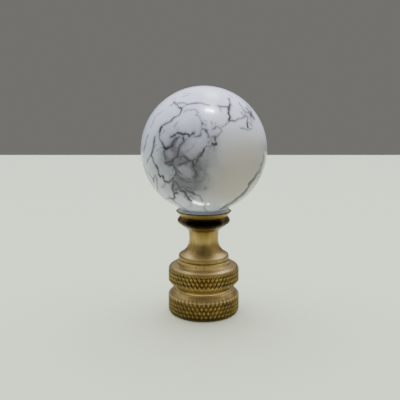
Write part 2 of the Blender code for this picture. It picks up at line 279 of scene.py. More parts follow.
    (0.2, 0.85, ((0.688, 0.666), (0.71, 0.63), (0.721, 0.602), (0.74, 0.57), (0.745, 0.54))),
    (0.28, 1.0, ((0.753, 0.61), (0.765, 0.56))),
    (0.2, 0.8, ((0.765, 0.56), (0.785, 0.53), (0.8, 0.5))),
    (0.15, 0.6, ((0.66, 0.605), (0.7, 0.6), (0.735, 0.585))),
    (0.14, 0.55, ((0.7, 0.7), (0.74, 0.655), (0.77, 0.6))),
    (0.15, 0.55, ((0.595, 0.602), (0.62, 0.573), (0.66, 0.55))),
    (0.14, 0.5, ((0.745, 0.54), (0.75, 0.5), (0.77, 0.46))),
    (0.14, 0.45, ((0.45, 0.85), (0.41, 0.87))),
    # The middle, with a small pale block in a loop, and a dark knot
    (0.16, 0.5, ((0.39, 0.47), (0.36, 0.42), (0.3, 0.39), (0.28, 0.36))),
    (0.16, 0.55, ((0.18, 0.36), (0.21, 0.38), (0.25, 0.36), (0.28, 0.31),
                  (0.26, 0.27), (0.21, 0.23), (0.12, 0.22))),
    (0.22, 0.7, ((0.14, 0.335), (0.18, 0.36))),
    (0.12, 0.35, ((0.18, 0.44), (0.19, 0.4))),
    (0.16, 0.45, ((0.12, 0.46), (0.13, 0.41))),
    (0.18, 0.75, ((0.18, 0.21), (0.18, 0.14))),
    (0.36, 0.85, ((0.14, 0.1), (0.17, 0.09), (0.2, 0.105))),
    (0.14, 0.35, ((0.17, 0.08), (0.165, 0.01))),
    (0.26, 0.7, ((0.03, 0.32), (0.045, 0.29))),
    (0.17, 0.6, ((-0.03, 0.34), (0.01, 0.34), (0.04, 0.3), (0.065, 0.26), (0.08, 0.21))),
    (0.16, 0.4, ((0.07, 0.13), (0.08, 0.11))),
    (0.16, 0.3, ((0.12, 0.19), (0.12, 0.03))),
    (0.25, 0.13, ((0.08, 0.03), (0.06, -0.06), (0.04, -0.2), (0.02, -0.35), (-0.01, -0.47))),
    (0.3, 0.35, ((0.02, -0.62), (0.04, -0.6))),
    # The long arc down the right side, with its loop
    (0.24, 0.9, ((0.95, -0.1), (0.945, -0.18), (0.915, -0.245), (0.91, -0.285), (0.89, -0.33))),
    (0.4, 1.0, ((0.89, -0.325), (0.865, -0.355))),
    (0.3, 1.0, ((0.865, -0.355), (0.84, -0.385), (0.815, -0.43), (0.785, -0.475))),
    (0.42, 1.0, ((0.785, -0.475), (0.76, -0.505), (0.735, -0.53))),
    (0.32, 1.0, ((0.735, -0.53), (0.71, -0.585), (0.68, -0.63))),
    (0.4, 1.0, ((0.68, -0.63), (0.65, -0.675), (0.625, -0.7))),
    (0.3, 1.0, ((0.625, -0.7), (0.575, -0.74), (0.51, -0.785), (0.475, -0.82))),
    (0.45, 1.0, ((0.475, -0.82), (0.43, -0.85), (0.39, -0.87))),
    (0.3, 0.95, ((0.39, -0.87), (0.34, -0.9), (0.28, -0.93))),
    (0.16, 0.6, ((0.9, -0.34), (0.925, -0.39), (0.925, -0.43), (0.9, -0.48), (0.88, -0.52))),
    (0.14, 0.5, ((0.925, -0.41), (0.87, -0.43), (0.85, -0.42))),
    (0.16, 0.45, ((0.9, -0.34), (0.86, -0.32))),
)

# Grey clouds in the stone, and painted shade at its right rim, as (right, up, size, darkness) in the same
# measure
CLOUDS_AND_SHADE = (
    (-0.26, -0.26, 0.42, 0.55),
    (-0.16, -0.6, 0.28, 0.5),
    (-0.38, -0.56, 0.2, 0.35),
    (-0.14, -0.18, 0.13, 0.35),
    (-0.33, 0.17, 0.2, 0.45),
    (-0.4, -0.05, 0.16, 0.2),
    (-0.6, -0.1, 0.15, 0.35),
    (-0.64, 0.2, 0.22, 0.25),
    (-0.68, -0.3, 0.35, 0.25),
    (-0.58, -0.75, 0.3, 0.3),
    (-0.1, 0.4, 0.14, 0.2),
    (0.13, 0.2, 0.16, 0.3),
    (0.1, -0.12, 0.2, 0.3),
    (0.72, 0.56, 0.14, 0.4),
    (0.5, -0.84, 0.2, 0.4),
    # Painted shade: the right rim darkened where the polish reflects darker surroundings
    (0.95, -0.2, 0.3, 0.7),
)

# Where painted shade makes the stone warmest and darkest in tone, as (right, up), and between which distances
# that fades
WARM_SHADE_PLACE = (0.65, -0.4)
WARM_SHADE_FULL = 0.25
WARM_SHADE_END = 1.05

# How veins wander: the waves of the noise, and how far it bends them, in parts of the ball's radius
COARSE_WAVES = 7.0
COARSE_BEND = 0.008
FINE_WAVES = 19.0
FINE_BEND = 0.011

# The furthest out that a place on the ball is taken, the most slanted view that a vein is widened
# for, the gap where there is no vein, the faintest line drawn, and how close vertices are joined
RIM = 0.99
MOST_SLANTED = 0.24
FAR_GAP = 9.0
FAINTEST = 0.02
BALL_WELD = 0.0001

# The made-up veins of the hidden side: a net between random cells, bent more than the others
HIDDEN_FROM = 0.14
HIDDEN_CELLS = 60
HIDDEN_SEED = 5
HIDDEN_BEND = 3.0
HIDDEN_HALF_WIDTH = 0.15

# Faint hairlines, a finer net round the most veined place
HAIR_PLACE = (-0.42, -0.2)
HAIR_FULL = 0.38
HAIR_END = 0.6
HAIR_CELLS = 420
HAIR_SEED = 6
HAIR_BEND = 2.0
HAIR_HALF_WIDTH = 0.08
HAIR_REACH = 0.25
HAIR_TONE = 0.3

# Small dark marks on the brass, as (turn in degrees, height in mm, width and height in mm, darkness)
MARKS = (
    (1.5, 12.3, 0.14, 0.5, 0.9),
    (-17.0, 12.2, 0.2, 0.16, 0.8),
    (24.0, 11.0, 0.15, 0.12, 0.6),
    (-38.0, 15.6, 0.14, 0.16, 0.6),
    (140.0, 12.4, 0.16, 0.3, 0.7),
    (205.0, 17.0, 0.12, 0.3, 0.6),
)

# Colours of the stone. The blue of the cool white is painted cool light, and the warm grey is painted shade
STONE_COOL = (0.6, 0.635, 0.77, 1)
STONE_COOL_DIM = (0.55, 0.57, 0.685, 1)
STONE_WARM_SHADE = (0.38, 0.345, 0.315, 1)
STONE_GREY = (0.135, 0.127, 0.155, 1)
VEIN_DARK = (0.04, 0.037, 0.046, 1)

# Colours of the brass, some of them painted shade, painted highlight and painted reflection
BRASS_DEEP = (0.375, 0.252, 0.078, 1)
BRASS_PALE = (0.47, 0.328, 0.112, 1)
BRASS_STREAK = (0.28, 0.19, 0.07, 1)
BRASS_SPECK = (0.16, 0.10, 0.04, 1)
BRASS_GRIME_AND_SHADE = (0.09, 0.052, 0.014, 1)
BRASS_BROWN_AND_SHADE = (0.11, 0.078, 0.034, 1)
BRASS_WEAR_AND_HIGHLIGHT = (0.76, 0.58, 0.29, 1)
BRASS_BARE = (0.93, 0.9, 0.84, 1)
PATINA_AND_REFLECTION_BLACK = (0.004, 0.0025, 0.0015, 1)

# The floor, which ends behind the finial
FLOOR_PALE = (0.91, 0.97, 0.7, 1)
FLOOR_DIM = (0.89, 0.95, 0.68, 1)
FLOOR_REACH = 3.0
FLOOR_BACK = 0.712
FLOOR_LEVEL = -0.2 * MM

# The upright card and the mat that only reflections show
CARD_COLOUR = (0.01, 0.01, 0.01, 1)
CARD_SIDE = 55 * MM
CARD_FRONT = -200 * MM
CARD_LOW = 65 * MM
CARD_HIGH = 175 * MM
MAT_COLOUR = (0.25, 0.19, 0.12, 1)
MAT_NEAR = -120 * MM
MAT_FAR = -45 * MM
MAT_LEVEL = -0.15 * MM

# Colours of the surrounding room
LEFT_WALL = (0.27, 0.275, 0.29, 1)
RIGHT_WALL = (0.3, 0.255, 0.185, 1)
BEHIND_CAMERA = (0.09, 0.085, 0.08, 1)
AHEAD = (0.17, 0.168, 0.158, 1)
ABOVE_CAMERA = (0.38, 0.39, 0.44, 1)
ABOVE_AHEAD = (2.9, 3.02, 3.4, 1)

# Colours of the lights
WHITE = (1.0, 1.0, 1.0)
COOL_WHITE = (0.94, 0.97, 1.0)

# The floor's light: name, place, the point it faces and size in mm, and brightness
FLOOR_LIGHT = ("wash", (0, 0, 1200), (0, 0, 0), (2000, 2000), 0.5)

# The ball's lights in the same order, then what of it they light: all, its polish or its body
BALL_LIGHTS = (
    ("long", (75, -45, 550), (75, -45, 0), (140, 850), 8.0, "all"),
    ("glow", (75, -137, 545), (75, -137, 0), (270, 140), 15.0, "all"),
    ("middle", (75, -137, 540), (75, -137, 0), (110, 40), 400.0, "polish"),
    ("under", (-6, -20, -12), (0, 0, 30), (30, 30), 1.5, "body"),
    ("gleam_bar", (-2.1, -7.3, 20.85), (-1.4, -10.0, 28.6), (4.4, 1.1), 60.0, "polish"),
    ("gleam_dot", (1.5, -6.9, 20.6), (0.9, -9.6, 28.1), (0.8, 0.8), 60.0, "polish"),
)


def smooth_step(low, high, value):
    """From 0 at low to 1 at high, eased at both ends."""
    share = np.clip((value - low) / (high - low), 0.0, 1.0)
    return share * share * (3 - 2 * share)


def noise_at(points, scale, shift):
    """Smooth noise from about -1 to 1 at each point. Every shift gives a noise of its own."""
    away = Vector((shift, 2 * shift, 3 * shift))
    return np.array([noise.noise(Vector(point) * scale + away) for point in points])


def new_object(name, data):
    """An object for this mesh, camera or light, linked to the scene."""
    obj = bpy.data.objects.new(name, data)
    bpy.context.scene.collection.objects.link(obj)
    return obj


def add_values(mesh, name, values):
    """Stores one number for each vertex, for the mesh's material to read."""
    mesh.attributes.new(name, "FLOAT", "POINT").data.foreach_set("value", values.astype(np.float32))


def build_camera():
    """The camera, where the photograph was taken."""
    data = bpy.data.cameras.new("camera")
    data.lens = CAMERA_LENS
    data.sensor_width = SENSOR_WIDTH
    data.sensor_fit = "HORIZONTAL"
    data.clip_start = 5 * MM
    camera = new_object("camera", data)
    camera.location = CAMERA_PLACE
    camera.rotation_euler = (math.pi / 2 - CAMERA_TILT, 0.0, 0.0)
    bpy.context.scene.camera = camera


def seen_on_ball(right, up):
    """The direction from the ball's middle to the place that the camera sees there."""
    forward = Vector((0.0, math.cos(CAMERA_TILT), -math.sin(CAMERA_TILT)))
    upward = Vector((0.0, math.sin(CAMERA_TILT), math.cos(CAMERA_TILT)))
    sideways = Vector((1.0, 0.0, 0.0))
    middle = Vector((0.0, 0.0, BALL_HEIGHT)) - CAMERA_PLACE
    spread = BALL_RADIUS / math.sqrt(middle.length_squared - BALL_RADIUS**2)
    reach = RIM / max(RIM, math.hypot(right, up))
    ray = forward
    ray = ray + sideways * (middle.dot(sideways) / middle.dot(forward) + right * reach * spread)
    ray = ray + upward * (middle.dot(upward) / middle.dot(forward) + up * reach * spread)
    ray.normalize()
    along = ray.dot(middle)
    short = along - math.sqrt(max(0.0, along**2 - middle.length_squared + BALL_RADIUS**2))
    return (ray * short - middle).normalized()


def smooth_route(places):
    """Points on the ball along a curve through the given places."""
    route = [places[0]]
    for i in range(len(places) - 1):
        before = places[max(i - 1, 0)]
        after = places[min(i + 2, len(places) - 1)]
        start = places[i]
        end = places[i + 1]
        for share in (1 / 3, 2 / 3, 1.0):
            leave = (end - before) * (0.5 * share * (1 - share) ** 2)
            arrive = (after - start) * (0.5 * share**2 * (share - 1))
            blend = share * share * (3 - 2 * share)
            route.append((start.lerp(end, blend) + leave + arrive).normalized())
    return np.array(route)


def cube_ball(steps):
    """A cube's six faces, cut into squares and blown up to a ball of radius 1."""
    body = bmesh.new()
    angles = [math.tan(math.radians(-45 + 90 * i / steps)) for i in range(steps + 1)]
    for turn in (Matrix.Rotation(math.pi / 2 * i, 3, "Z") for i in range(4)):
        add_face(body, turn, angles)
    add_face(body, Matrix.Rotation(math.pi / 2, 3, "X"), angles)
    add_face(body, Matrix.Rotation(-math.pi / 2, 3, "X"), angles)
    bmesh.ops.remove_doubles(body, verts=body.verts, dist=BALL_WELD)
    return body


def add_face(body, turn, angles):
    """One face of the blown-up cube, which looks along -Y until it is turned."""
    rows = [[body.verts.new((turn @ Vector((across, -1.0, up))).normalized()) for across in angles]
            for up in angles]
    for low, high in zip(rows, rows[1:]):
        for i in range(len(angles) - 1):
            body.faces.new((low[i], low[i + 1], high[i + 1], high[i])).smooth = True


def camera_way():
    """The direction from the ball's middle to the camera."""
    return np.array((CAMERA_PLACE - Vector((0.0, 0.0, BALL_HEIGHT))).normalized())


def away_from(spots, place):
    """How far each spot of the ball is from a place that the camera sees on it."""
    return np.linalg.norm(spots - np.array(seen_on_ball(*place)), axis=1)


def bent_spots(spots):
    """The spots moved a little by noise, so that the lines laid through them wander."""
    coarse = np.stack([noise_at(spots, COARSE_WAVES, shift) for shift in (1.0, 2.0, 3.0)], axis=1)
    fine = np.stack([noise_at(spots, FINE_WAVES, shift) for shift in (4.0, 5.0, 6.0)], axis=1)
    return spots + COARSE_BEND * coarse + FINE_BEND * fine


def placed_veins(spots, bent):
    """How far each spot is from the edge of the nearest placed vein, in mm, and how dark it is."""
    swell = 0.85 + 0.35 * noise_at(spots, 14.0, 7.0)
    radius = BALL_RADIUS / MM
    gap = np.full(len(spots), FAR_GAP)
    tone = np.zeros(len(spots))
    for half_width, darkness, marks in VEINS:
        route = smooth_route([seen_on_ball(*mark) for mark in marks])
        for start, end in zip(route, route[1:]):
            way = end - start
            share = np.clip((bent - start) @ way / (way @ way), 0.0, 1.0)
            away = np.linalg.norm(bent - start - share[:, None] * way, axis=1)
            edge = away * radius - half_width * widening(start, way) * swell
            closer = edge < gap
            gap[closer] = edge[closer]
            tone[closer] = darkness
    return gap, tone


def widening(place, way):
    """How much wider a vein is on the ball than it looks to the camera, where it is seen aslant."""
    across = np.cross(place, way)
    across /= np.linalg.norm(across)
    return 1 / max(MOST_SLANTED, math.sqrt(1 - (across @ camera_way()) ** 2))


def net_gap(spots, count, seed):
    """How far each spot is from a net of lines between random cells, in mm."""
    rng = np.random.default_rng(seed)
    cells = rng.normal(size=(count, 3))
    cells /= np.linalg.norm(cells, axis=1)[:, None]
    away = np.linalg.norm(spots[:, None, :] - cells[None, :, :], axis=2)
    order = np.argsort(away, axis=1)
    first = order[:, 0]
    second = order[:, 1]
    rows = np.arange(len(spots))
    between = np.linalg.norm(cells[first] - cells[second], axis=1)
    return (away[rows, second] ** 2 - away[rows, first] ** 2) / (2 * between) * BALL_RADIUS / MM


def hidden_net(spots, bent, hidden):
    """Veins in keeping for the sides that the photograph doesn't show: their gap and darkness."""
    half_width = HIDDEN_HALF_WIDTH * (1 + 0.7 * noise_at(spots, 8.0, 9.0))
    gap = net_gap(bent + HIDDEN_BEND * (bent - spots), HIDDEN_CELLS, HIDDEN_SEED) - half_width
    patches = smooth_step(-0.25, 0.2, noise_at(spots, 2.6, 8.0))
    return gap, hidden * patches * (0.6 + 0.5 * noise_at(spots, 3.0, 10.0))


def hair_net(spots, bent):
    """Faint hairlines in the most veined part of the stone: their gap and darkness."""
    gap = net_gap(bent + HAIR_BEND * (bent - spots), HAIR_CELLS, HAIR_SEED) - HAIR_HALF_WIDTH
    near = smooth_step(HAIR_END, HAIR_FULL, away_from(spots, HAIR_PLACE))
    return gap, HAIR_TONE * near * smooth_step(-0.25, 0.25, noise_at(spots, 4.0, 13.0))


def lay_net(gap, tone, net, net_tone, reach):
    """Draws a net where it is dark enough to show, within its reach and nearer than other veins."""
    shown = (net_tone > FAINTEST) & (net < gap) & (net < reach)
    gap[shown] = net[shown]
    tone[shown] = net_tone[shown]


def vein_fields(spots, hidden):
    """How far each spot is from the edge of the nearest vein, in mm, and how dark that vein is."""
    bent = bent_spots(spots)
    gap, tone = placed_veins(spots, bent)
    lay_net(gap, tone, *hidden_net(spots, bent, hidden), math.inf)
    tone *= 1.15 + 0.3 * noise_at(spots, 11.0, 14.0)
    lay_net(gap, tone, *hair_net(spots, bent), HAIR_REACH)
    return gap, tone


def cloud_and_shade_at(spots, hidden):
    """How far each spot is clouded with grey, painted shade at the right rim included."""
    cloud_and_shade = hidden * 0.35 * smooth_step(-0.1, 0.6, noise_at(spots, 2.1, 11.0))
    for right, up, size, darkness in CLOUDS_AND_SHADE:
        away = away_from(spots, (right, up)) / size
        cloud_and_shade += darkness * np.exp(-away * away)
    return cloud_and_shade


def build_ball():
    """The howlite ball, with its veins, its clouds and its painted shade stored on its vertices."""
    body = cube_ball(BALL_STEPS)
    mesh = bpy.data.meshes.new("howlite_ball")
    body.to_mesh(mesh)
    body.free()
    spots = np.empty(len(mesh.vertices) * 3)
    mesh.vertices.foreach_get("co", spots)
    spots = spots.reshape(-1, 3)
    hidden = smooth_step(HIDDEN_FROM, 0.0, spots @ camera_way())
    gap, tone = vein_fields(spots, hidden)
    add_values(mesh, "warm_shade", smooth_step(WARM_SHADE_END, WARM_SHADE_FULL, away_from(spots, WARM_SHADE_PLACE)))
    add_values(mesh, "vein_gap", np.clip(gap, -2.0, 6.0))
    add_values(mesh, "vein_tone", tone)
    add_values(mesh, "cloud_and_shade", cloud_and_shade_at(spots, hidden))
    uneven = 1.0 - BALL_UNEVENNESS * (0.5 + 0.5 * noise_at(spots, 1.7, 12.0))
    places = spots * uneven[:, None] * BALL_RADIUS + np.array((0.0, 0.0, BALL_HEIGHT))
    mesh.vertices.foreach_set("co", places.ravel())
    mesh.update()
    return new_object("howlite_ball", mesh)


def round_reaches(places, sizes):
    """How far each corner's round reaches along its two walls, shared out where a wall is short."""
    reaches = [0.0] * len(places)
    for i in range(1, len(places) - 1):
        half = (places[i - 1] - places[i]).angle(places[i + 1] - places[i]) / 2
        reaches[i] = sizes[i] / math.tan(half)
    shares = []
    for i in range(len(places) - 1):
        wanted = reaches[i] + reaches[i + 1]
        wall = (places[i + 1] - places[i]).length
        shares.append(min(1.0, wall / wanted) if wanted else 1.0)
    return [reaches[i] * min(shares[i - 1], shares[i]) for i in range(1, len(places) - 1)]


def arc_points(corner, to_before, to_after, reach):
    """The points of the arc that touches both walls of a corner at its reach."""
    half = to_before.angle(to_after) / 2
    centre = corner + (to_before + to_after).normalized() * (reach / math.cos(half))
    spoke = corner + to_before * reach - centre
    side = math.copysign(1.0, to_before.y * to_after.x - to_before.x * to_after.y)
    turn = side * (math.pi - 2 * half)
    steps = max(2, math.ceil(abs(turn) / ARC_STEP))
    steps = min(steps, max(2, math.ceil(abs(turn) * spoke.length / SHORTEST_CHORD)))
    return [centre + Matrix.Rotation(turn * step / steps, 2) @ spoke for step in range(steps + 1)]


def rounded(corners):
    """The way along corners of (radius, height, round), each turned at its own round."""
    places = [Vector(corner[:2]) for corner in corners]
    reaches = round_reaches(places, [corner[2] for corner in corners])
    path = [places[0]]
    for before, corner, after, reach in zip(places, places[1:], places[2:], reaches):
        path += arc_points(corner, (before - corner).normalized(), (after - corner).normalized(), reach)
    path.append(places[-1])
    return path


def base_profile():
    """From the middle of the dish over the lip, down the outside and in to the socket's edge."""
    widest = math.asin(SEAT_RADIUS / SEAT_SPHERE)
    centre = Vector((0.0, BALL_HEIGHT))
    dish = [centre + Matrix.Rotation(widest * step / DISH_STEPS, 2) @ Vector((0.0, -SEAT_SPHERE))
            for step in range(DISH_STEPS)]
    groove_radius = UPPER_RING_RADIUS - GROOVE_DEPTH
    outside = rounded([
        (SEAT_RADIUS, SEAT_EDGE, 0),
        (LIP_RADIUS - LIP_EDGE_WIDTH, LIP_TOP, EDGE_ROUND),
        (LIP_RADIUS, LIP_BASE, EDGE_ROUND),
        (LIP_RADIUS - COVE_DEPTH, COVE_BASE, EDGE_ROUND),
        (TORUS_RADIUS, TORUS_MIDDLE, TORUS_ROUND),
        (TORUS_FOOT_RADIUS, TORUS_BASE, EDGE_ROUND),
        (NECK_TOP_RADIUS, WAIST_TOP, NECK_TOP_ROUND),
        (WAIST_RADIUS, WAIST_BASE, WAIST_ROUND),
        (BEAD_RADIUS, BEAD_TOP, BEAD_ROUND),
        (BEAD_RADIUS, BEAD_BASE, EDGE_ROUND),
        (COLLAR_RADIUS - CREASE_DEPTH, CREASE_BASE + CREASE_HEIGHT, EDGE_ROUND),
        (COLLAR_RADIUS, CREASE_BASE, EDGE_ROUND),
        (COLLAR_RADIUS, COLLAR_BASE, EDGE_ROUND),
        (UPPER_RING_RADIUS, SHOULDER_TOP, SHOULDER_ROUND),
        (UPPER_RING_RADIUS, UPPER_BAND_BASE, EDGE_ROUND),
        (groove_radius, CHAMFER_BASE, EDGE_ROUND),
        (groove_radius, GROOVE_BASE, EDGE_ROUND),
        (LOWER_RING_RADIUS - SLOPE_WIDTH, GROOVE_BASE, EDGE_ROUND),
        (LOWER_RING_RADIUS, SLOPE_BASE, SLOPE_ROUND),
        (LOWER_RING_RADIUS, LOWER_BAND_BASE, EDGE_ROUND),
        (LOWER_RING_RADIUS - FOOT_CHAMFER, 0.0, 0),
    ])
    return dish + outside


def in_knurl(height):
    """Whether a height is in one of the knurled bands, or close by where the knurl runs out."""
    upper = UPPER_BAND_BASE - KNURL_RUN_OUT < height < UPPER_BAND_TOP + KNURL_RUN_OUT
    return upper or 0 < height < SLOPE_BASE + KNURL_RUN_OUT


def divided(path):
    """The path with its long walls divided, finely where the knurl is."""
    fine = [path[0]]
    for start, end in zip(path, path[1:]):
        length = (end - start).length
        if length < WELD:
            continue
        step = KNURL_STEP if in_knurl((start.y + end.y) / 2) else WALL_STEP
        count = max(1, round(length / step))
        fine += [start.lerp(end, i / count) for i in range(1, count + 1)]
    return fine


def knurl_depth(turn, height):
    """How deep the knurl's crossing grooves are, from 0 on the worn points to 1, and how dark with
    grime and painted shade.

    The painted shade lies more in the grooves that fall to the right on the left side, and the
    other way round on the right side."""
    column = turn / FULL_TURN * KNURL_COUNT
    row = height / KNURL_DIAMOND_HEIGHT
    falling = np.clip(1 - np.abs((column + row) % 1.0 - 0.5) * 2 / KNURL_GROOVE_SHARE, 0.0, 1.0)
    rising = np.clip(1 - np.abs((column - row) % 1.0 - 0.5) * 2 / KNURL_GROOVE_SHARE, 0.0, 1.0)
    # Painted shade: one direction of groove darker on the left side, the other on the right
    side = GROOVE_SHADE_SHIFT * smooth_step(-0.35, 0.35, np.cos(turn))
    grime_and_shade = np.maximum(falling * (1 - side), rising * (1 - GROOVE_SHADE_SHIFT + side))
    return np.maximum(falling, rising), grime_and_shade


def knurled_rings(profile):
    """The profile turned round in columns, with the knurl cut into its rings, and the grime and
    painted shade in its grooves.
    """
    turns = np.arange(COLUMNS) * FULL_TURN / COLUMNS
    radius = np.repeat(np.array([point.x for point in profile])[:, None], COLUMNS, axis=1)
    height = np.repeat(np.array([point.y for point in profile])[:, None], COLUMNS, axis=1)
    depth, grime_and_shade = knurl_depth(turns[None, :], height)
    ring = np.where(height > CHAMFER_BASE, UPPER_RING_RADIUS, LOWER_RING_RADIUS)
    knurled = np.array([in_knurl(point.y) for point in profile])[:, None]
    cut = np.where(knurled, ring - depth * KNURL_DEPTH, np.inf)
    reached = np.clip((radius - ring) / KNURL_DEPTH + 1, 0.0, 1.0)
    groove = np.where(knurled, grime_and_shade * reached, 0.0)
    radius = np.minimum(radius, cut)
    places = np.stack([radius * np.cos(turns), radius * np.sin(turns), height], axis=2)
    return places.reshape(-1, 3), groove.ravel()


def build_base():
    """The brass base: the turned profile, knurled on both rings, with its threaded socket."""
    path = divided(base_profile())
    rings, groove = knurled_rings(path[1:])
    rows = len(path) - 1
    vertices = [tuple(path[0].to_3d().xzy)] + rings.tolist()
    faces = [(0, 1 + i, 1 + (i + 1) % COLUMNS) for i in range(COLUMNS)]
    for row in range(rows - 1):
        start = 1 + row * COLUMNS
        faces += [(start + i, start + COLUMNS + i, start + COLUMNS + (i + 1) % COLUMNS,
                   start + (i + 1) % COLUMNS) for i in range(COLUMNS)]
    socket, socket_faces = build_socket(len(vertices), 1 + (rows - 1) * COLUMNS)
    mesh = bpy.data.meshes.new("antique_brass_base")
    mesh.from_pydata(vertices + socket, [], faces + socket_faces)
    mesh.shade_smooth()
    mesh.set_sharp_from_angle(angle=SHARP_ANGLE)
    mesh.validate()
    places = np.array(vertices + socket)
    grooves = np.zeros(len(places))
    grooves[1:1 + rows * COLUMNS] = groove
    add_values(mesh, "groove", grooves)
    add_values(mesh, "patina_and_reflection", patina_and_reflection_at(places))
    add_values(mesh, "brown", brown_and_shade_at(places))
    add_values(mesh, "wear_and_highlight", wear_and_highlight_at(places))
    add_values(mesh, "bare", bare_at(places))
    return new_object("antique_brass_base", mesh)


def thread_radius(turn, height):
    """The socket's radius after this part of a turn. It follows the thread between its two ends."""
    wave = abs((height / THREAD_PITCH - turn) % 1.0 - 0.5) * 2
    fade = min(1.0, max(0.0, (height - COUNTERSINK) / THREAD_PITCH))
    fade *= min(1.0, (SOCKET_DEPTH - height) / THREAD_PITCH)
    return SOCKET_RADIUS - THREAD_DEPTH * wave * fade


def build_socket(first, rim):
    """The threaded socket: its vertices, and faces that join it to the underside's rim."""
    heights = [0.0, COUNTERSINK]
    heights += list(np.arange(COUNTERSINK + THREAD_STEP, SOCKET_DEPTH, THREAD_STEP))
    vertices = []
    for row, height in enumerate(heights):
        for column in range(SOCKET_COLUMNS):
            turn = column / SOCKET_COLUMNS
            radius = thread_radius(turn, height) + (COUNTERSINK if row == 0 else 0.0)
            angle = turn * FULL_TURN
            vertices.append((radius * math.cos(angle), radius * math.sin(angle), height))
    vertices.append((0.0, 0.0, SOCKET_DEPTH + SOCKET_POINT_HEIGHT))
    share = COLUMNS // SOCKET_COLUMNS
    faces = []
    for column in range(SOCKET_COLUMNS):
        after = (column + 1) % SOCKET_COLUMNS
        outer = [rim + (column * share + i) % COLUMNS for i in range(share, -1, -1)]
        faces.append([first + after] + outer + [first + column])
        for row in range(len(heights) - 1):
            low = first + row * SOCKET_COLUMNS
            high = low + SOCKET_COLUMNS
            faces.append((high + column, high + after, low + after, low + column))
        last = first + (len(heights) - 1) * SOCKET_COLUMNS
        faces.append((last + after, last + column, first + len(vertices) - 1))
    return vertices, faces


def around_axis(places):
    """The height of each place, its distance from the axis, and its turn away from the front."""
    return places[:, 2], np.hypot(places[:, 0], places[:, 1]), np.arctan2(places[:, 0], -places[:, 1])


def patina_and_reflection_at(places):
    """How near to black the brass is at each place of the turned profile: patina, painted dark
    reflection across the torus's front, a darker lip edge and small marks.
    """
    heights, radius, turn = around_axis(places)
    soft = 0.08 * MM
    on_ring = np.stack([np.cos(turn), np.sin(turn), heights / (12 * MM)], axis=1)
    patchy = 0.35 + 0.45 * smooth_step(-0.2, 0.3, noise_at(on_ring, 1.6, 20.0))
    # Painted dark reflection: the torus black all across its front, with patchy patina round the rest
    front = smooth_step(math.radians(56), math.radians(36), np.abs(turn))
    torus = band(heights, TORUS_DARK_BASE, COVE_BASE, soft) * np.maximum(front, patchy)
    crease = 0.5 * band(heights, CREASE_BASE + 0.12 * MM, BEAD_BASE - 0.1 * MM, soft)
    outer = smooth_step(LIP_RADIUS - 0.35 * MM, LIP_RADIUS - 0.15 * MM, radius)
    lip_edge = 0.88 * outer * smooth_step(LIP_BASE - 0.3 * MM, LIP_BASE - 0.1 * MM, heights)
    dark = np.maximum.reduce([torus, crease, lip_edge])
    for degrees, middle, width, tall, darkness in MARKS:
        aside = (turn - math.radians((degrees + 180) % 360 - 180)) * radius / (width * MM)
        above = (heights - middle * MM) / (tall * MM)
        dark = np.maximum(dark, darkness * np.exp(-2 * (aside**2 + above**2)))
    return dark


def brown_and_shade_at(places):
    """How far the brass has dulled to brown, in the hollows, round the dark torus and towards the
    underside, and painted shade under the torus, on the neck's front and sides, on the skirt and
    on the left and right sides below the waist.
    """
    heights, radius, turn = around_axis(places)
    soft = 0.12 * MM
    # Painted shade: the top of the neck under the torus, darker still at the front
    front = smooth_step(math.radians(40), math.radians(12), np.abs(turn))
    neck = (0.45 + 0.15 * front) * band(heights, NECK_DARK_BASE, TORUS_BASE, 0.5 * MM)
    aside = np.abs(places[:, 0])
    # Painted shade on the neck's left and right sides, more on the right
    neck_side_shade = (0.3 + 0.12 * np.sign(places[:, 0])) * smooth_step(1.2 * MM, 2.8 * MM, aside)
    neck_side_shade *= band(heights, WAIST_BRIGHT_BASE, TORUS_BASE, 0.6 * MM)
    # Painted shade on the upper skirt
    skirt_shade = 0.6 * band(heights, BEAD_TOP + 0.7 * MM, WAIST_BASE + 0.5 * MM, 0.35 * MM)
    # Painted shade on the left and right sides below the waist, as the camera sees them
    sides = 0.6 * smooth_step(2.8 * MM, 5.2 * MM, aside) * (heights < WAIST_BASE)
    torus = 0.9 * band(heights, TORUS_BASE, COVE_BASE, soft)
    cove = 0.15 * band(heights, COVE_BASE, LIP_BASE, soft) * smooth_step(4.8 * MM, 5.4 * MM, radius)
    bead = 0.5 * band(heights, BEAD_BASE, BEAD_BASE + 0.5 * MM, soft)
    slope = 0.3 * band(heights, SLOPE_BASE + 0.35 * MM, GROOVE_BASE, soft)
    foot = 0.9 * smooth_step(1.5 * MM, 0.3 * MM, heights)
    knurl = 0.22 * np.maximum(heights < SLOPE_BASE, band(heights, UPPER_BAND_BASE, UPPER_BAND_TOP, soft))
    socket = 0.7 * (radius < SOCKET_RADIUS + WELD) * (heights < SOCKET_DEPTH + SOCKET_POINT_HEIGHT)
    return np.maximum.reduce([neck, neck_side_shade, skirt_shade, sides, torus, cove, bead, slope, knurl, foot, socket])


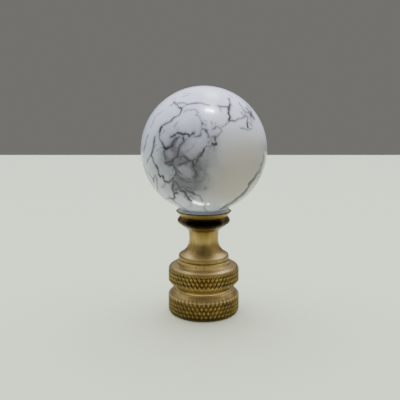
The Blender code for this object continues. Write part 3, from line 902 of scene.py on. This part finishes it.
def wear_and_highlight_at(places):
    """How far the brass is lightened: rubbed bright on the edges that hands and cloths meet, and
    painted highlights on those edges and in the middle as the camera sees it.
    """
    heights = places[:, 2]
    slope_edge = 0.6 * band(heights, SLOPE_BASE - 0.02 * MM, SLOPE_BASE + 0.22 * MM, 0.1 * MM)
    # The middle as the camera sees it, where the painted highlights lie
    middle = smooth_step(6.0 * MM, 3.0 * MM, np.abs(places[:, 0] - 0.8 * MM))
    groove = (0.4 + 0.6 * middle) * band(heights, GROOVE_BASE - 0.15 * MM, CHAMFER_BASE + 0.5 * MM, 0.12 * MM)
    bead_edge_highlight = 0.6 * middle * band(heights, BEAD_TOP - 0.2 * MM, BEAD_TOP + 0.5 * MM, 0.2 * MM)
    shoulder_highlight = middle * band(heights, SHOULDER_TOP - 0.15 * MM, COLLAR_BASE + 0.5 * MM, 0.15 * MM)
    collar_edge = 0.3 * band(heights, CREASE_BASE - 0.2 * MM, CREASE_BASE, 0.06 * MM)
    waist_highlight = 0.4 * smooth_step(2.4 * MM, 0.8 * MM, np.abs(places[:, 0]))
    waist_highlight *= band(heights, WAIST_BRIGHT_BASE, WAIST_BRIGHT_TOP, 0.3 * MM)
    return np.maximum.reduce([slope_edge, groove, bead_edge_highlight, shoulder_highlight, collar_edge, waist_highlight])


def bare_at(places):
    """How far the brass is bare and bright under the ball, in the dish."""
    heights, radius, _ = around_axis(places)
    seat = (radius < SEAT_RADIUS + WELD) & (heights > COVE_BASE)
    inside = smooth_step(LIP_RADIUS - 0.25 * MM, LIP_RADIUS - 0.4 * MM, radius)
    return inside * (seat | (heights > SEAT_EDGE - WELD))


def band(values, low, high, soft):
    """1 between low and high, easing to 0 outside them."""
    return smooth_step(low - soft, low + soft, values) * smooth_step(high + soft, high - soft, values)


class Graph:
    """Builds the nodes of a material or a world."""

    def __init__(self, owner, shader="Principled BSDF"):
        owner.use_nodes = True
        self.tree = owner.node_tree
        self.shader = self.tree.nodes[shader]

    def add(self, kind, inputs=None, **settings):
        """A node with its settings and its inputs, each a value or another node's output."""
        node = self.tree.nodes.new(kind)
        for key, value in settings.items():
            setattr(node, key, value)
        for key, value in (inputs or {}).items():
            self.feed(node.inputs[key], value)
        return node

    def feed(self, socket, value):
        """Gives a socket a value, or links an output to it."""
        if isinstance(value, bpy.types.NodeSocket):
            self.tree.links.new(value, socket)
        else:
            socket.default_value = value

    def stored(self, name):
        """The number stored on the mesh under this name."""
        return self.add("ShaderNodeAttribute", attribute_name=name).outputs["Fac"]

    def math(self, operation, first, second=0.0, clamp=False):
        """One sum of two numbers."""
        node = self.add("ShaderNodeMath", operation=operation, use_clamp=clamp)
        self.feed(node.inputs[0], first)
        self.feed(node.inputs[1], second)
        return node.outputs[0]

    def ease(self, value, low, high, to_low=0.0, to_high=1.0):
        """The value taken smoothly from low..high to to_low..to_high."""
        inputs = {"Value": value, "From Min": low, "From Max": high, "To Min": to_low, "To Max": to_high}
        return self.add("ShaderNodeMapRange", inputs, interpolation_type="SMOOTHSTEP").outputs["Result"]

    def mix(self, share, first, second):
        """A colour between two."""
        node = self.add("ShaderNodeMix", data_type="RGBA")
        self.feed(node.inputs["Factor"], share)
        self.feed(node.inputs[6], first)
        self.feed(node.inputs[7], second)
        return node.outputs[2]

    def noise(self, scale, detail=3.0, stretch=(1.0, 1.0, 1.0)):
        """Noise in the object's own space, with so many waves to a metre."""
        place = self.add("ShaderNodeTexCoord").outputs["Object"]
        mapping = self.add("ShaderNodeMapping", {"Vector": place, "Scale": stretch})
        inputs = {"Vector": mapping.outputs[0], "Scale": scale, "Detail": detail}
        return self.add("ShaderNodeTexNoise", inputs).outputs["Fac"]


def howlite():
    """Polished white stone with dark grey veins and paler grey clouds, with painted cool light, and painted
    shade at its lower right and right rim.
    """
    material = bpy.data.materials.new("howlite")
    graph = Graph(material)
    wobble = graph.math("MULTIPLY", graph.math("SUBTRACT", graph.noise(2200.0), 0.5), 0.3)
    gap = graph.math("ADD", graph.stored("vein_gap"), wobble)
    tone = graph.stored("vein_tone")
    core = graph.math("MULTIPLY", graph.ease(gap, 0.18, -0.12), tone)
    halo = graph.math("MULTIPLY", graph.ease(gap, 0.65, 0.0, 0.0, 0.3), tone)
    mottle = graph.ease(graph.noise(420.0, 4.0), 0.35, 0.65)
    halo = graph.math("MULTIPLY", halo, graph.math("ADD", mottle, 0.45))
    soft_mottle = graph.ease(graph.noise(260.0, 3.0), 0.3, 0.7, 0.8, 1.2)
    # Grey clouds, with painted shade at the right rim
    cloud_and_shade = graph.math("MULTIPLY", graph.stored("cloud_and_shade"), soft_mottle)
    patch = graph.ease(graph.noise(110.0), 0.35, 0.65)
    cool = graph.mix(patch, STONE_COOL, STONE_COOL_DIM)
    # Painted shade: the stone warmer and darker towards its lower right, as the camera sees it
    white = graph.mix(graph.stored("warm_shade"), cool, STONE_WARM_SHADE)
    grey = graph.mix(graph.math("ADD", cloud_and_shade, halo, True), white, STONE_GREY)
    colour = graph.mix(graph.math("MULTIPLY", core, 1.0, True), grey, VEIN_DARK)
    graph.feed(graph.shader.inputs["Base Color"], colour)
    graph.feed(graph.shader.inputs["Roughness"], graph.ease(core, 0.0, 1.0, 0.2, 0.3))
    graph.shader.inputs["Specular IOR Level"].default_value = 0.15
    graph.shader.inputs["Coat Weight"].default_value = 0.18
    graph.shader.inputs["Coat Roughness"].default_value = 0.07
    return material


def antique_brass():
    """Brushed brass gone olive and brown, dark in its hollows and bright on its worn edges, with
    painted shade, painted highlights and painted reflection in its colour.
    """
    material = bpy.data.materials.new("antique_brass")
    graph = Graph(material)
    patch = graph.ease(graph.noise(260.0, 4.0), 0.3, 0.7)
    gold = graph.mix(patch, BRASS_DEEP, BRASS_PALE)
    streak = graph.noise(1500.0, 2.0, (1.0, 1.0, 0.06))
    gold = graph.mix(graph.ease(streak, 0.35, 0.7, 0.0, 0.3), gold, BRASS_STREAK)
    speck = graph.ease(graph.noise(2600.0, 4.0), 0.6, 0.75, 0.0, 0.5)
    gold = graph.mix(speck, gold, BRASS_SPECK)
    clogged = graph.ease(graph.noise(800.0, 3.0), 0.3, 0.7, 0.6, 1.0)
    # The knurl's grooves, dark with grime and painted shade
    groove = graph.math("MULTIPLY", graph.ease(graph.stored("groove"), 0.1, 0.8, 0.0, 0.95), clogged)
    gold = graph.mix(groove, gold, BRASS_GRIME_AND_SHADE)
    uneven = graph.ease(graph.noise(700.0, 4.0), 0.25, 0.6, 0.7, 1.0)
    # Brown dulling, with painted shade on the neck, the skirt and the sides
    brown = graph.math("MULTIPLY", graph.stored("brown"), uneven, True)
    gold = graph.mix(brown, gold, BRASS_BROWN_AND_SHADE)
    # Worn edges, with painted highlights
    gold = graph.mix(graph.stored("wear_and_highlight"), gold, BRASS_WEAR_AND_HIGHLIGHT)
    gold = graph.mix(graph.stored("bare"), gold, BRASS_BARE)
    # Patina, with painted dark reflection on the torus's front
    colour = graph.mix(graph.stored("patina_and_reflection"), gold, PATINA_AND_REFLECTION_BLACK)
    graph.feed(graph.shader.inputs["Base Color"], colour)
    graph.feed(graph.shader.inputs["Metallic"], 1.0)
    graph.feed(graph.shader.inputs["Roughness"], graph.ease(streak, 0.3, 0.7, 0.38, 0.5))
    scratch = graph.add("ShaderNodeBump", {"Height": streak, "Strength": 0.12, "Distance": 0.05 * MM})
    graph.feed(graph.shader.inputs["Normal"], scratch.outputs[0])
    return material


def pale_floor():
    """A plain matt material with a trace of unevenness, for the floor."""
    material = bpy.data.materials.new("pale_floor")
    graph = Graph(material)
    shade = graph.mix(graph.noise(9.0), FLOOR_PALE, FLOOR_DIM)
    graph.feed(graph.shader.inputs["Base Color"], shade)
    graph.feed(graph.shader.inputs["Roughness"], 0.7)
    return material


def flat_piece(name, corners, material):
    """A flat piece with four corners."""
    mesh = bpy.data.meshes.new(name)
    mesh.from_pydata(corners, [], [(0, 1, 2, 3)])
    mesh.materials.append(material)
    return new_object(name, mesh)


def build_floor():
    """A plain pale floor that ends behind the finial, with a light that falls on it alone."""
    corners = [(-FLOOR_REACH, -FLOOR_REACH, FLOOR_LEVEL), (FLOOR_REACH, -FLOOR_REACH, FLOOR_LEVEL),
               (FLOOR_REACH, FLOOR_BACK, FLOOR_LEVEL), (-FLOOR_REACH, FLOOR_BACK, FLOOR_LEVEL)]
    floor = flat_piece("floor", corners, pale_floor())
    only_floor = bpy.data.collections.new("lit_by_wash")
    only_floor.objects.link(floor)
    wash = area_light(*FLOOR_LIGHT, WHITE)
    wash.light_linking.receiver_collection = only_floor


def build_reflections():
    """A dark card and a brown mat before the finial, which only reflections show."""
    upright = [(-CARD_SIDE, CARD_FRONT, CARD_LOW), (CARD_SIDE, CARD_FRONT, CARD_LOW),
               (CARD_SIDE, CARD_FRONT, CARD_HIGH), (-CARD_SIDE, CARD_FRONT, CARD_HIGH)]
    reflected_card("dark_card", upright, CARD_COLOUR)
    lying = [(-CARD_SIDE, MAT_NEAR, MAT_LEVEL), (CARD_SIDE, MAT_NEAR, MAT_LEVEL),
             (CARD_SIDE, MAT_FAR, MAT_LEVEL), (-CARD_SIDE, MAT_FAR, MAT_LEVEL)]
    reflected_card("brown_mat", lying, MAT_COLOUR)


def reflected_card(name, corners, colour):
    """A plain card that shows only as a darker reflection, as the things in a room do."""
    material = bpy.data.materials.new(name)
    graph = Graph(material)
    graph.feed(graph.shader.inputs["Base Color"], colour)
    graph.feed(graph.shader.inputs["Roughness"], 0.9)
    card = flat_piece(name, corners, material)
    card.visible_camera = False
    card.visible_diffuse = False
    card.visible_shadow = False


def build_surrounding():
    """A grey room: bright overhead, lit walls at both sides, and dim behind the camera."""
    world = bpy.data.worlds.new("surrounding")
    graph = Graph(world, "Background")
    way = graph.add("ShaderNodeTexCoord").outputs["Generated"]
    right, back, up = graph.add("ShaderNodeSeparateXYZ", {"Vector": way}).outputs
    aside = graph.ease(graph.math("ABSOLUTE", right), 0.2, 0.65)
    beside = graph.math("MULTIPLY", aside, graph.ease(back, 0.8, 0.45))
    walls = graph.mix(graph.ease(right, -0.5, 0.5), LEFT_WALL, RIGHT_WALL)
    dim = graph.mix(graph.ease(back, -0.5, 0.2), BEHIND_CAMERA, AHEAD)
    room = graph.mix(beside, dim, walls)
    top = graph.mix(graph.ease(back, -0.5, 0.45), ABOVE_CAMERA, ABOVE_AHEAD)
    sky = graph.mix(graph.ease(up, 0.27, 0.8), room, top)
    graph.feed(graph.shader.inputs["Color"], sky)
    graph.shader.inputs["Strength"].default_value = 1.0
    bpy.context.scene.world = world


def area_light(name, place, aim, size, brightness, colour):
    """A rectangular soft light, placed and sized in mm, which the camera doesn't see."""
    width = size[0] * MM
    height = size[1] * MM
    data = bpy.data.lights.new(name, "AREA")
    data.shape = "RECTANGLE"
    data.size = width
    data.size_y = height
    data.energy = brightness * math.pi * width * height
    data.color = colour
    light = new_object(name, data)
    light.location = Vector(place) * MM
    light.rotation_euler = (Vector(aim) - Vector(place)).to_track_quat("-Z", "Y").to_euler()
    light.visible_camera = False
    return light


def build_lights(ball):
    """Lights for the ball alone: long and soft overhead with a bright middle, and gleams below."""
    only_ball = bpy.data.collections.new("lit_by_gleams")
    only_ball.objects.link(ball)
    for name, place, aim, size, brightness, lit in BALL_LIGHTS:
        light = area_light(name, place, aim, size, brightness, COOL_WHITE)
        light.visible_diffuse = lit != "polish"
        light.visible_glossy = lit != "body"
        light.light_linking.receiver_collection = only_ball
        if lit == "body":
            light.light_linking.blocker_collection = only_ball


build_camera()
build_floor()
build_reflections()
build_surrounding()
ball = build_ball()
build_lights(ball)
base = build_base()
ball.data.materials.append(howlite())
base.data.materials.append(antique_brass())
for piece, node, finish in ((ball, "stone_ball", "howlite"), (base, "brass_base", "antique_brass")):
    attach(piece, "root")
    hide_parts(node)
